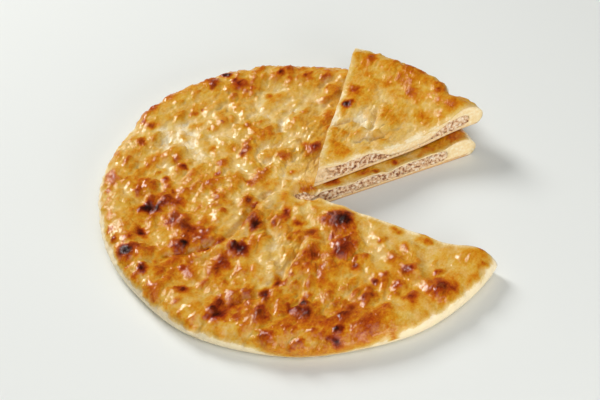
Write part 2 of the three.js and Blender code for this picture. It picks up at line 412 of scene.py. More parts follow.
# %% Places of blisters and folds, in degrees and millimetres from the pie's middle
SWELLS = ((0.7, 71, 93, 0.6), (0.5, -58, 64, 2.1))  # lift, length across and along, phase
LUMPS = {"count": 64, "lift": 1.5, "reach": 14, "turn": 137.5, "vary": 1.7}
BUBBLES = (  # angle, away, lift, reach
    (-132, 54, 2.4, 16), (-125, 81, 2.0, 14), (-127, 100, 1.8, 14), (-46, 48, 3.0, 20), (-82, 58, 2.0, 17),
    (-66, 75, 2.4, 17), (-104, 128, 1.6, 20), (-153, 145, 1.8, 16), (152, 72, 2.2, 15), (112, 42, 2.0, 15),
    (138, 86, 1.6, 18), (-26, 96, -2.4, 15), (-26, 124, -0.8, 24), (-26.5, 148, 2.0, 18),
    (14, 41, -1.5, 10), (19, 73, -1.9, 12), (21, 105, -1.2, 12),
)
FOLDS = (  # lift, reach, points of its line
    (-2.6, 5, ((-28, -5), (-37, -19), (-45, -34), (-54, -47), (-66, -58), (-78, -63), (-104, -70))),
    (2.9, 8, ((-22, -10), (-31, -24), (-39, -39), (-48, -52), (-60, -63), (-80, -72))),
    (-2.2, 6, ((2, -54), (-9, -83), (-16, -95), (-28, -109), (-42, -114), (-62, -130), (-84, -148))),
    (-1.6, 8, ((41, -19), (51, -37), (53, -59), (64, -76), (85, -102), (96, -114), (116, -132))),
    (1.8, 9, ((-63, 120), (-55, 110), (-48, 93), (-42, 72), (-39, 30))),
    (-1.4, 12, ((-12, 77), (-20, 55), (-28, 36))),
    (-1.2, 9, ((-92, 76), (-89, 56), (-89, 40))),
    (1.8, 10, ((-31, -13), (-20, -9), (-8, -11))),
    (2.0, 8, ((62, -55), (71, -71), (91, -97), (103, -109))),
    (1.8, 8, ((7, -59), (-4, -88), (-11, -100), (-23, -114), (-37, -119))),
    (3.6, 9, ((84, -60), (87, -75), (90, -90))),
    (-8.0, 9, ((-1, -1.5), (4, -2.5), (9, -4))),  # the torn corner of the gap
)
CRIMPS = (  # places of short ridges, in millimetres from the pie's middle
    (-47, -82), (-35, -86), (-24, -83), (-54, -108), (-19, -121), (4, -100), (4, -122), (-30, -63),
    (-35, -136), (5, -86), (-8, -92), (-42, -130), (19, -75), (-97, -3), (-124, -5), (-101, -22),
    (-94, -35), (-71, -47), (-120, -36), (-68, -29), (-66, -68), (-71, -83), (-125, -71), (-15, -49),
    (-4, -24), (-66, 25), (-6, 54), (-4, 44), (-20, 25), (-97, -42), (-123, -78),
)
CRIMP = {"lift": 2.3, "reach": 6.5, "half": 4.5, "aside": 2.5}
SLICE_FROM, SLICE_TO = -25.3, 23.2  # angles of its sides, where it was cut
SLICE_SWEEP = SLICE_TO - SLICE_FROM
SLICE_CUTS = ((0, 0), SLICE_FROM, SLICE_TO)
SLICE_TIP = Vector((10.2, 3.1, 16.3))  # where it lies on the pie
SLICE_TURN = 52.6
PRESS_MARGIN = 12
HARDLY_PRESSED = 0.2
FOLD_STEP = 1.2

# %% Swells and lumps


def pressed(x, y):
    """1 where the slice lies on the pie and holds its top down, 0 well clear of it."""
    right, forward = x - SLICE_TIP.x, y - SLICE_TIP.y
    middle = math.radians((SLICE_FROM + SLICE_TO) / 2 + SLICE_TURN)
    half = math.radians(SLICE_SWEEP / 2)
    turn = np.abs(np.angle(np.exp(1j * (np.arctan2(forward, right) - middle))))
    aside = np.hypot(right, forward) * np.sin(np.minimum(turn, math.pi / 2) - half)
    return np.where(turn > math.pi / 2, 0, fade(np.maximum(aside, 0), PRESS_MARGIN))


def swell(piece, top):
    """Low waves of the filling under the dough, which the top follows."""
    places = places_of(piece)
    x, y = places[top, 0], places[top, 1]
    for lift, across, length, phase in SWELLS:
        wave_here = lift * np.sin(math.tau * x / across + phase) * np.cos(math.tau * y / length)
        places[top, 2] += wave_here * smooth_step(places[top, 2], NOSE_LEVEL, TOP_HEIGHT)
    put_places(piece, places)


def spread_lumps():
    """Low swellings and sinks spread like seeds in a sunflower, each with its own height."""
    for i in range(LUMPS["count"]):
        away = FILLING_END * math.sqrt((i + 0.5) / LUMPS["count"])
        yield i * LUMPS["turn"], away, LUMPS["lift"] * math.sin(LUMPS["vary"] * i), LUMPS["reach"]


# %% Folds


def along(points):
    """Places every millimetre or so along a line of points."""
    corners = np.array(points, float)
    steps = np.hypot(*np.diff(corners, axis=0).T)
    far = np.concatenate([[0], np.cumsum(steps)])
    marks = np.arange(0, far[-1], FOLD_STEP)
    return np.stack([np.interp(marks, far, corners[:, k]) for k in (0, 1)], 1)


def from_line(places, points):
    """How far each place is from a line of points, seen from above."""
    return np.min([from_spot(places, spot) for spot in along(points)], 0)


def nearest_on(skin, spots):
    """Numbers of the skin's vertices that lie nearest to the spots, seen from above."""
    return sorted({int(np.argmin(from_spot(skin, spot))) for spot in spots})


def lift_skin(piece, top, features):
    """Each feature is (places, lift, reach): those places are moved up, and the skin round them follows."""
    activate(piece)
    numbers = np.nonzero(top)[0]
    skin = places_of(piece)[numbers, :2]
    bpy.ops.object.mode_set(mode="EDIT")
    bpy.ops.mesh.select_mode(type="VERT")
    bpy.ops.mesh.select_all(action="DESELECT")
    cage = bmesh.from_edit_mesh(piece.data)
    cage.verts.ensure_lookup_table()
    for i in numbers:
        cage.verts[i].select_set(True)
    cage.select_flush_mode()
    bpy.ops.mesh.hide(unselected=True)
    for spots, lift, reach in features:
        bpy.ops.mesh.select_all(action="DESELECT")
        for i in nearest_on(skin, spots):
            cage.verts[numbers[i]].select_set(True)
        cage.select_flush_mode()
        bpy.ops.transform.translate(
            value=(0, 0, lift * MM), use_proportional_edit=True, proportional_edit_falloff="SMOOTH",
            proportional_size=reach * MM, use_proportional_connected=False,
        )
    bpy.ops.mesh.reveal(select=False)
    bpy.ops.object.mode_set(mode="OBJECT")


# %% Lift the pie's top


def pie_features():
    for angle, away, lift, reach in (*spread_lumps(), *BUBBLES):
        spot = polar(angle, away)
        if lift < 0 or pressed(*spot) < HARDLY_PRESSED:
            yield [spot], lift, reach
    for lift, reach, points in FOLDS:
        yield along(points), lift, reach
    for x, y in CRIMPS:
        crest = x + CRIMP["aside"]
        yield along(((crest, y - CRIMP["half"]), (crest, y + CRIMP["half"]))), CRIMP["lift"], CRIMP["reach"]


pie_top = (pie_depth == 0) & (pie_level[:, 2] > NOSE_LEVEL)
swell(pie_crust, pie_top)
lift_skin(pie_crust, pie_top, list(pie_features()))
print("relief of the top:", np.ptp(places_of(pie_crust)[pie_top, 2] - pie_level[pie_top, 2]).round(1), "mm")

# %% [markdown]
# ## Small blisters
#
# Between the large blisters the thin top is full of small ones, with creases where two meet. By hand that
# would be hundreds of strokes, so a vertex group holds the height of all of them, the higher one wherever
# two meet, and a single displace modifier lifts the skin by it.

# %% Small blisters
BLISTERS = {
    "apart": (6, 18), "reach": 0.55,  # millimetres between two, and the share of them that one takes up
    "steep": (0.08, 0.30), "dome": 1.4, "long": 1.3,  # height by reach, roundness, length by width
    "brown": 0.44, "rare": 2.2,  # the brownest top, and how rare it is
    "waver": 3.5, "waver_size": 9,  # how far and how finely the outlines wander
}
BLISTER_BROWN = (0.7, 0.9, 6, 0, 1.3)  # middle, variation, size of patches, limits
OTHER_NOISE = 400  # so far off, the noise is another one
BLISTER_TRIES = 6000
BLISTER_FIELD = 156
GROUP_LEVELS = 100
WRINKLE_HEADING = 59


def weigh(piece, name, weights):
    """A vertex group with those weights, given in levels. Returns its name."""
    group = piece.vertex_groups.new(name=name)
    levels = np.round(np.clip(weights, 0, 1) * GROUP_LEVELS)
    for level in range(1, GROUP_LEVELS + 1):
        group.add(np.nonzero(levels == level)[0].tolist(), level / GROUP_LEVELS, "REPLACE")
    return name


def blister_spots(seed):
    """Places for blisters, none too close to another: x, y, reach, lift and how brown its top is."""
    random = np.random.RandomState(seed)
    spots = []
    for _ in range(BLISTER_TRIES):
        place = random.uniform(-BLISTER_FIELD, BLISTER_FIELD, 2)
        reach = BLISTERS["reach"] * random.uniform(*BLISTERS["apart"])
        lift = reach * random.uniform(*BLISTERS["steep"])
        brown = BLISTERS["brown"] * random.uniform(0, 1) ** BLISTERS["rare"]
        room = (reach + np.array([s[2] for s in spots])) / (2 * BLISTERS["reach"])
        if not spots or (from_spot(np.array([s[:2] for s in spots]), place) > room).all():
            spots.append((*place, reach, lift, brown))
    return spots


def blister_field(places, spots, heading):
    """Height and browning of the blisters at each place."""
    waver = np.stack([patchy(places + shift, BLISTERS["waver_size"]) for shift in (0, OTHER_NOISE)], 1)
    flat = places[:, :2] + BLISTERS["waver"] * waver
    height = np.zeros(len(places))
    brown = np.zeros(len(places))
    for x, y, reach, lift, dark in spots:
        offset = flat - (x, y)
        distance = np.hypot(offset @ polar(heading, 1) / BLISTERS["long"], offset @ polar(heading + 90, 1))
        dome = np.clip(1 - (distance / reach) ** 2, 0, 1) ** BLISTERS["dome"]
        height = np.maximum(height, lift * dome)
        brown = np.maximum(brown, dark * dome)
    return height, brown * uneven(places, *BLISTER_BROWN)


# %% Lift the small blisters
CHARRED_REACH = {"lift": 1.5, "bake": 1.7}  # by the radius of the charred spot
TOP_FROM = {"blister": (7, 15), "wrinkle": (5, 14)}  # heights over which the side turns into the top


def upper_skin(level, depth, kind):
    """1 on the top of the dough, easing to 0 down its side, and 0 inside it."""
    return smooth_step(level[:, 2], *TOP_FROM[kind]) * (depth == 0)


def blister(piece, level, depth, seed, charred, heading, calm, swollen):
    """Lifts the blisters out of the skin. Returns how brown they are."""
    places = places_of(piece)
    spots = blister_spots(seed)
    for angle, away, radius, dark in charred:
        spots.append((*polar(angle, away), CHARRED_REACH["lift"] * radius, swollen * dark * radius, 0.0))
    height, brown = blister_field(places, spots, heading)
    upward = upper_skin(level, depth, "blister")
    height *= upward * calm(places)
    group = weigh(piece, "blistered", height / height.max())
    activate(piece)
    bpy.ops.object.modifier_add(type="DISPLACE")
    lifted = piece.modifiers[-1]
    lifted.direction = "Z"
    lifted.mid_level = 0
    lifted.strength = height.max() * MM
    lifted.vertex_group = group
    bpy.ops.object.modifier_apply(modifier=lifted.name)
    return brown * upward


# %% Blister the pie
KNIFED = {"share": 0.8, "reach": 8}
CALM_SPOT = (-138, 122, 50)  # angle, away, reach
CALM_SHARE = 0.4
BLISTERED = (0.8, 0.6, 38, 0.25, 1.15)  # middle, variation, size of patches, limits
PIE_BLISTERS = {"seed": 5, "swollen": 0.28}


def knifed(places, cuts):
    """Little blistering is left along a cut, where the knife pressed the dough."""
    return 1 - KNIFED["share"] * beside_cut(places, KNIFED["reach"], *cuts)


def pie_calm(places):
    """Less blistered here and there, and not at all where the slice lies."""
    clear = 1 - pressed(places[:, 0], places[:, 1])
    clear *= 1 - CALM_SHARE * near_spot(places, *CALM_SPOT)
    return uneven(places, *BLISTERED) * clear * knifed(places, GAP_CUTS)


CHARRED = (  # angle, away, radius, how dark
    (-132, 54, 6.5, 0.95), (-125, 81, 5.7, 0.95), (-127, 100, 6.5, 0.75), (-46, 48, 8.9, 0.95),
    (-80, 47, 5.7, 0.75), (-82, 70, 4.9, 0.75), (-66, 74, 6.5, 0.8), (-63, 91, 3.3, 0.75),
    (-55, 87, 3.3, 0.6), (-80, 84, 4.1, 0.6), (-80, 97, 4.1, 0.6), (-104, 112, 4.9, 0.8),
    (-100, 99, 4.9, 0.75), (-115, 145, 7.3, 0.85), (-88, 128, 4.1, 0.85), (-91, 132, 4.1, 0.7),
    (-153, 151, 6.5, 1), (-159, 133, 4.9, 0.9), (-171, 123, 5.7, 1), (-172, 99, 4.9, 0.75),
    (-144, 149, 4.1, 0.9), (-155, 99, 4.9, 0.75), (165, 99, 4.1, 0.8), (86, 52, 4.1, 0.62),
    (115, 153, 4.1, 1), (122, 143, 3.3, 0.7), (150, 144, 4.9, 0.7), (158, 142, 4.9, 0.75),
    (143, 156, 3.3, 0.6), (113, 136, 4.1, 0.7), (103, 117, 3.3, 0.6), (97, 140, 2.4, 0.6),
    (90, 146, 3.3, 0.55), (84, 151, 3.3, 0.6), (137, 105, 2.4, 0.5), (121, 87, 4.1, 0.6),
    (155, 70, 4.9, 0.6), (168, 42, 4.1, 0.65), (110, 40, 4.9, 0.6), (139, 75, 4.1, 0.5),
    (177, 152, 6.5, 0.6), (-54, 140, 5.7, 0.75), (-64, 122, 4.9, 0.7), (-44, 149, 7.3, 0.75),
    (-73, 128, 4.9, 0.65), (-63, 138, 3.3, 0.65), (-82, 140, 6.5, 0.6), (-71, 148, 6.5, 0.65),
    (-65, 160, 4.1, 0.5), (-26, 154, 4.9, 0.6), (-29, 112, 4.1, 0.55), (21, 65.5, 2.8, 0.7),
    (23.6, 84, 2.8, 0.72), (131, 127, 1, 1), (130, 103, 1, 1), (94, 94, 1, 1),
)
pie_brown = blister(
    pie_crust, pie_level, pie_depth, PIE_BLISTERS["seed"], CHARRED, WRINKLE_HEADING, pie_calm,
    PIE_BLISTERS["swollen"],
)
print("brownest blister adds", pie_brown.max().round(2), "to the bake")

# %% [markdown]
# ## Wrinkled skin
#
# The buttered skin is finely wrinkled, most on the left and along the edge. Sculpted by hand, thousands
# of wrinkles would take days, so displace modifiers read a cloud pattern of the wrinkles' real size.
# Their direction comes from an empty that stretches the pattern, and a vertex group says where the skin
# is wrinkled and how strongly. Three sizes lie over each other: puffs, ridges and a fine crepe that
# breaks the glints up.

# %% Wrinkles
CREASED = {"noise_type": "HARD_NOISE", "noise_depth": 1}  # round backs with sharp creases between them
PUFFS = {"size": 18, "lift": 6.6, "long": 1.4}
RIDGES = {"size": 7.5, "lift": 2.8, "long": 2.2}
CREPE = {"size": 3.4, "lift": 1.9, "long": 1.7}
CREASE_LEVEL = 0.25


def roughen(piece, group, pattern, size, lift, middle=0.5, stretch=None, **settings):
    """Displaces the group's vertices along their normals by a pattern of that size, both in millimetres."""
    activate(piece)
    texture = bpy.data.textures.new(f"{piece.name}_{group}", pattern)
    texture.noise_scale = size * MM
    for key, value in settings.items():
        setattr(texture, key, value)
    bpy.ops.object.modifier_add(type="DISPLACE")
    displace = piece.modifiers[-1]
    displace.texture = texture
    displace.strength = lift * MM
    displace.mid_level = middle
    displace.vertex_group = group
    if stretch:
        displace.texture_coords = "OBJECT"
        displace.texture_coords_object = stretch
    bpy.ops.object.modifier_apply(modifier=displace.name)


def stretch_guide(heading, length):
    """An empty whose long axis lies along the wrinkles."""
    bpy.ops.object.empty_add(rotation=(0, 0, math.radians(heading - 90)))
    guide = bpy.context.object
    guide.scale = (1, length, 1)
    bpy.context.view_layer.update()
    return guide


def remove(thing):
    activate(thing)
    bpy.ops.object.delete()


def wrinkle(piece, weights, heading, kind):
    """Puffs or wrinkles the skin. Returns how far that moved every vertex upwards."""
    start = places_of(piece)
    guide = stretch_guide(heading, kind["long"])
    group = weigh(piece, f"creased_{kind['size']}", weights)
    roughen(piece, group, "CLOUDS", kind["size"], kind["lift"], CREASE_LEVEL, guide, **CREASED)
    remove(guide)
    return places_of(piece)[:, 2] - start[:, 2]


# %% Wrinkle the pie
WRINKLED = {"vary": 0.9, "size": 26, "middle": 0.42, "per_mm": -0.0036, "limits": (0.12, 0.85)}
WRINKLED_EDGE = {"amount": 0.25, "from": 120, "to": 145}
WRINKLED_FRONT = (-98, 135, 60)  # angle, away, reach
FRONT_AMOUNT = 0.4
CALM_EDGE = {"share": 0.5, "from": 125, "to": 145}
PUFFED_FRONT = (-95, 142, 75)
CREPE_ON_PUFFS = 0.25


def wrinkled(places, level, depth, start):
    """Where the skin is wrinkled: in patches, on the top alone."""
    strength = uneven(places, start, WRINKLED["vary"], WRINKLED["size"], 0, 1)
    return strength * upper_skin(level, depth, "wrinkle")


def beyond(places, band):
    """0 near the middle of the pie, 1 beyond the band."""
    return smooth_step(from_spot(places, (0, 0)), band["from"], band["to"])


def pie_wrinkled(places):
    """Strong on the left and round the edge, weak on the right."""
    start = np.clip(WRINKLED["middle"] + WRINKLED["per_mm"] * places[:, 0], *WRINKLED["limits"])
    start += WRINKLED_EDGE["amount"] * beyond(places, WRINKLED_EDGE)
    start += FRONT_AMOUNT * near_spot(places, *WRINKLED_FRONT)
    return wrinkled(places, pie_level, pie_depth, start)


pie_rise = pie_calm(places_of(pie_crust)) * upper_skin(pie_level, pie_depth, "blister")
pie_front = near_spot(pie_level, *PUFFED_FRONT)
pie_rise *= 1 - CALM_EDGE["share"] * beyond(pie_level, CALM_EDGE) * (1 - pie_front)
pie_puffs = wrinkle(pie_crust, pie_rise, WRINKLE_HEADING, PUFFS)
pie_ridges = wrinkle(pie_crust, pie_wrinkled(places_of(pie_crust)), WRINKLE_HEADING, RIDGES)
pie_crepe = np.clip(CREPE_ON_PUFFS * pie_rise + np.sqrt(pie_wrinkled(places_of(pie_crust))), 0, 1)
wrinkle(pie_crust, pie_crepe * knifed(pie_level, GAP_CUTS), WRINKLE_HEADING, CREPE)
print("puffs up to", pie_puffs.max().round(2), "mm, wrinkles up to", pie_ridges.max().round(2), "mm")

# %% [markdown]
# ## The hollow under the skin
#
# Where a fold sinks, the thin top dough sinks with it, so the hollow has to stay under the finished skin.
# A search tree of the skin's vertices gives the height of the skin above any place.

# %% Hollow under the skin
THIN_DOUGH = 1.6
CUT_DOUGH = {"thinner": 0.8, "reach": 9}
LEAST_BASE = 0.8
LEAST_FILLING = 0.05
PLAY_SHARE = 0.05
RAGGED = {"size": 7, "reach": 14, "base": (0.9, 1.5), "top": (1.0, 4.5)}  # of base and top: amount, seed
RAGGED_WAVES = ((1, 1, OFF_GRID), (2.3, 0.6, 0.71))  # how much finer, strength, layer of the noise
EVEN_ROWS = {"factor": 0.5, "repeat": 60}


def ragged(places, cuts, amount, seed):
    """How far the filling's edge wanders up or down along the cuts."""
    far = from_spot(places, cuts[0]) / RAGGED["size"]
    wander = sum(
        strength * np.array([noise.noise((finer * r, seed, layer)) for r in far])
        for finer, strength, layer in RAGGED_WAVES
    )
    return amount * wander * beside_cut(places, RAGGED["reach"], *cuts)


def layers(places, height, cuts, play=0.0):
    """Levels of the filling's underside and top, with the thin top dough over it, thinnest at the cuts."""
    low = np.maximum(BASE_DOUGH + ragged(places, cuts, *RAGGED["base"]), LEAST_BASE)
    dough = THIN_DOUGH - CUT_DOUGH["thinner"] * beside_cut(places, CUT_DOUGH["reach"], *cuts)
    most = np.minimum(height(places) - dough, TOP_HEIGHT - dough)
    high = np.maximum(most - np.abs(ragged(places, cuts, *RAGGED["top"])), low + LEAST_FILLING)
    gap = np.minimum(play, PLAY_SHARE * (high - low))
    return low + gap, high - gap


def share_of(level):
    """How far up the filling a level of the plain section lies, from 0 to 1."""
    return np.clip((level - BASE_DOUGH) / (TOP_HEIGHT - TOP_DOUGH - BASE_DOUGH), 0, 1)


def skin_height(piece, top):
    """A function from places to the height of the skin there."""
    skin = places_of(piece)[top]
    tree = KDTree(len(skin))
    for i, (x, y, _) in enumerate(skin):
        tree.insert((x, y, 0), i)
    tree.balance()

    def lowest_near(x, y):
        return min(skin[i, 2] for _, i, _ in tree.find_n((x, y, 0), 3))

    return lambda places: np.array([lowest_near(x, y) for x, y, _ in places])


# %% Press the hollow down


def even_rows(piece, depth):
    """Spreads the rows of crumb on the cut faces evenly between skin and hollow."""
    activate(piece)
    piece.data.vertices.foreach_set("select", (depth > 0) & (depth < 1))
    bpy.ops.object.mode_set(mode="EDIT")
    bpy.ops.mesh.select_mode(type="VERT")
    bpy.ops.mesh.vertices_smooth(**EVEN_ROWS, xaxis=False, yaxis=False)
    bpy.ops.object.mode_set(mode="OBJECT")


def sink_hollow(piece, depth, height, cuts):
    """Presses the hollow down under the skin, and spreads the rows on the cut faces between the two."""
    places = places_of(piece)
    hollow = depth == 1
    low, high = layers(places[hollow], height, cuts)
    places[hollow, 2] = low + share_of(places[hollow, 2]) * (high - low)
    put_places(piece, places)
    even_rows(piece, depth)


pie_height = skin_height(pie_crust, pie_top)
sink_hollow(pie_crust, pie_depth, pie_height, GAP_CUTS)
print("thinnest top dough kept at", THIN_DOUGH, "mm")

# %% [markdown]
# ## The filling
#
# Minced chicken fills the hollow and shows at the cuts. A Boolean of the hollow would leave each cut as
# one flat face, so its section is a fine grid instead, rounded at the outer end and spun like the dough:
# then its two ends have vertices close enough together for crumbs of meat. In the torn corner of the gap
# the dough has sunk away and bares the mince.

# %% Filling
FILLING_GRID = (190, 15)
FILLING_PLAY = 0.15
THIN_FILLING = (0.6, 2.0)  # where it is thinner than this, dough shows through


def filling_ring(name, start, turn, spins, outline, height, cuts):
    bpy.ops.object.select_all(action="DESELECT")
    bpy.ops.mesh.primitive_grid_add(x_subdivisions=FILLING_GRID[0], y_subdivisions=FILLING_GRID[1], size=MM)
    piece = bpy.context.object
    piece.name = name
    share = places_of(piece)[:, :2] + 0.5
    radius = share[:, 0] * FILLING_END
    past = np.clip((radius - FILLING_END + FILLING_NOSE) / FILLING_NOSE, 0, 1)
    half = (TOP_HEIGHT - TOP_DOUGH - BASE_DOUGH) / 2
    level = BASE_DOUGH + half + (2 * share[:, 1] - 1) * half * np.sqrt(1 - past**2)
    heading = math.radians(start)
    put_places(piece, np.stack([radius * math.cos(heading), radius * math.sin(heading), level], 1))
    bpy.ops.object.mode_set(mode="EDIT")
    bpy.ops.mesh.select_mode(type="EDGE")
    sweep(piece, turn, spins, FILLING_CUTS)
    places = places_of(piece)
    angles = np.arctan2(places[:, 1], places[:, 0])
    places[:, :2] *= ((filling_outline(angles, outline) - FILLING_PLAY) / FILLING_END)[:, None]
    places[:, :2] += cuts[0]
    low, high = layers(places, height, cuts, FILLING_PLAY)
    places[:, 2] = low + share_of(places[:, 2]) * (high - low)
    put_places(piece, places)
    write_value(piece, "lean", smooth_step(low - high, -THIN_FILLING[1], -THIN_FILLING[0]))
    return piece


# %% Crumbs of mince
BARED = {"at": (5, -3), "level": 13, "reach": 9, "crumbs": 14}
CRUMBS = {"size": 2.8, "lift": -2.0, "middle": 0.3, "noise_intensity": 1.0}
FINE_CRUMBS = {"size": 0.9, "lift": 0.9}
ON_CUT = 0.02


def bared(places):
    """The height that holds the filling down, which in the torn corner is its own."""
    near = from_line(places, FOLDS[-1][2])
    return np.maximum(pie_height(places), BARED["level"] * np.minimum(2 * fade(near, BARED["reach"]), 1))


def crumbly(piece, cut):
    """Crumbs of mince on the cut faces. Keeps how far each vertex sank, for painted shade and darker meat
    in the pits.
    """
    before = places_of(piece)
    normals = np.array([v.normal for v in piece.data.vertices])
    group = weigh(piece, "cut", cut)
    roughen(piece, group, "VORONOI", **CRUMBS)
    roughen(piece, group, "CLOUDS", **FINE_CRUMBS)
    write_value(piece, "sunk", ((before - places_of(piece)) * normals).sum(1))


def on_cut(places, tip, *angles):
    """1 for places on the planes of the cuts that leave the tip at those angles."""
    found = np.zeros(len(places))
    for angle in angles:
        across = polar(angle + 90, 1)
        found[np.abs((places[:, :2] - tip) @ across) < ON_CUT] = 1
    return found


# %% Fill the pie
pie_filling = filling_ring(
    "pie_filling_mince", GAP_TO, PIE_SWEEP, SPINS["pie_filling"], outline_from_gap, bared, GAP_CUTS,
)
filling_places = places_of(pie_filling)
torn_here = from_spot(filling_places, BARED["at"]) < BARED["crumbs"]
crumbly(pie_filling, np.maximum(on_cut(filling_places, *GAP_CUTS), torn_here))
print("pie filling:", len(pie_filling.data.vertices), "vertices")

# %% [markdown]
# ## The slice
#
# The slice is made in the place that it was cut from, with the same steps, so its crust and filling match
# the gap. The knife crushed one of its edges. Then it is bent a little, turned and laid on the pie.

# %% Shape of the slice
SLICE_BUBBLES = (
    (-25, 90, -4.6, 41), (4, 70, -1.6, 26), (-4, 122, 1.4, 20), (17, 96, 1.6, 18), (-21, 143, 2.4, 22),
    (-15, 149, -4.0, 13),
)
SLICE_CHARRED = (
    (17, 143, 5.8, 0.7), (18.5, 86, 5, 0.95), (17.4, 105, 5.8, 0.65), (-4, 123, 5, 0.65),
    (-1.5, 149, 5, 0.6), (-12, 139, 4.2, 0.6), (-16, 112, 8.3, 0.5), (4, 149, 5, 0.6), (6.5, 122, 5, 0.5),
    (10, 40, 6.7, 0.5),
)
SLICE_FOLDS = (
    (-2.3, 4, ((58, 19), (66, 15), (75, 6), (81, 1))),
    (2.2, 5, ((60, -2), (66, -4), (68, -9), (71, -14))),
    (1.8, 5, ((78, -15), (88, -18))),
    (-2.1, 5, ((57, -5), (63, -7), (65, -12), (68, -17), (76, -18))),
    (-2.4, 5, ((91, 3), (85, -1), (74, -4), (68, -5))),
    (-1.8, 5, ((63, -12), (57, -15), (52, -5))),
)
SLICE_POINTS = {"base": 20, "under": 9, "nose": 18, "slope": 22, "top": 120}
SLICE_BEND = {"from": 88, "to": 142, "rise": 4.8}
TIP_DOUGH = {"share": 0.7, "reach": 26}  # at its tip
SLICE_SHEAR = {"by": 6, "reach": 24}  # the top of its tip lags behind the base
SLICE_EDGE = {"corner": 159, "middle": 154, "dent": 7.5, "dent_at": -15.5, "dent_reach": 6.5}
SLICE_MARGIN = 8
PINCH = {"least": 0.5, "most": 0.95, "steep": 1.5}


def slice_outline(turn):
    aside = (2 * turn - math.radians(SLICE_FROM + SLICE_TO)) / math.radians(SLICE_SWEEP)
    from_dent = np.abs(np.degrees(turn) - SLICE_EDGE["dent_at"])
    dent = SLICE_EDGE["dent"] * fade(from_dent, SLICE_EDGE["dent_reach"])
    corners = (SLICE_EDGE["corner"] - SLICE_EDGE["middle"]) * np.minimum(aside**2, 1)
    return SLICE_EDGE["middle"] + corners - dent


def slice_features():
    for angle, away, lift, reach in (*spread_lumps(), *SLICE_BUBBLES):
        if SLICE_FROM - SLICE_MARGIN < (angle + 180) % 360 - 180 < SLICE_TO + SLICE_MARGIN:
            yield [polar(angle, away)], lift, reach
    for lift, reach, points in SLICE_FOLDS:
        yield along(points), lift, reach


def pinch(height):
    """Where the knife crushed the edge, the two layers of dough nearly meet and leave little room."""
    angle, away, _, reach = SLICE_BUBBLES[0]
    least = BASE_DOUGH + THIN_DOUGH

    def pinched(places):
        near = near_spot(places, angle, away, reach)
        room = np.maximum(height(places) - least, PINCH["least"])
        return least + room * (1 - PINCH["most"] * np.minimum(PINCH["steep"] * near, 1))

    return pinched


# %% Crust of the slice
SLICE_HEADING = WRINKLE_HEADING - SLICE_TURN
SLICE_BLISTERS = {"seed": 11, "swollen": 0.14, "share": 0.45}
SLICE_PUFFED = 0.5
SLICE_CREPE = 1.3
CRUMPLED = {"at": (68, -2), "reach": 30, "least": 0.3, "more": 0.7}


def slice_calm(places):
    return SLICE_BLISTERS["share"] * knifed(places, SLICE_CUTS)


slice_crust = dough_ring("slice_crust_dough", SLICE_FROM, SLICE_SWEEP, SPINS["slice_crust"], SLICE_POINTS)
slice_depth = read_value(slice_crust, "depth")
slice_level = press_out(slice_crust, slice_outline, slice_depth)
slice_top = (slice_depth == 0) & (slice_level[:, 2] > NOSE_LEVEL)
swell(slice_crust, slice_top)
lift_skin(slice_crust, slice_top, list(slice_features()))
slice_brown = blister(
    slice_crust, slice_level, slice_depth, SLICE_BLISTERS["seed"], SLICE_CHARRED, SLICE_HEADING, slice_calm,
    SLICE_BLISTERS["swollen"],
)
slice_rise = SLICE_PUFFED * knifed(slice_level, SLICE_CUTS)
slice_rise *= upper_skin(slice_level, slice_depth, "blister")
crumpled = fade(from_spot(slice_level, CRUMPLED["at"]), CRUMPLED["reach"])
slice_crumple = CRUMPLED["least"] + CRUMPLED["more"] * crumpled
slice_puffs = wrinkle(slice_crust, slice_rise, SLICE_HEADING, PUFFS)
slice_ridges = wrinkle(
    slice_crust, wrinkled(slice_level, slice_level, slice_depth, slice_crumple), SLICE_HEADING, RIDGES,
)
wrinkle(slice_crust, SLICE_CREPE * slice_rise, SLICE_HEADING, CREPE)
print("slice crust:", len(slice_crust.data.vertices), "vertices")

# %% Fill the slice
slice_height = pinch(skin_height(slice_crust, slice_top))
sink_hollow(slice_crust, slice_depth, slice_height, SLICE_CUTS)
slice_filling = filling_ring(
    "slice_filling_mince", SLICE_FROM, SLICE_SWEEP, SPINS["slice_filling"], slice_outline, slice_height,
    SLICE_CUTS,
)
crumbly(slice_filling, on_cut(places_of(slice_filling), *SLICE_CUTS))
slice_far = from_spot(places_of(slice_filling), (0, 0))
slice_tip = TIP_DOUGH["share"] * fade(slice_far, TIP_DOUGH["reach"])
write_value(slice_filling, "lean", np.maximum(read_value(slice_filling, "lean"), slice_tip))
print("slice filling:", len(slice_filling.data.vertices), "vertices")
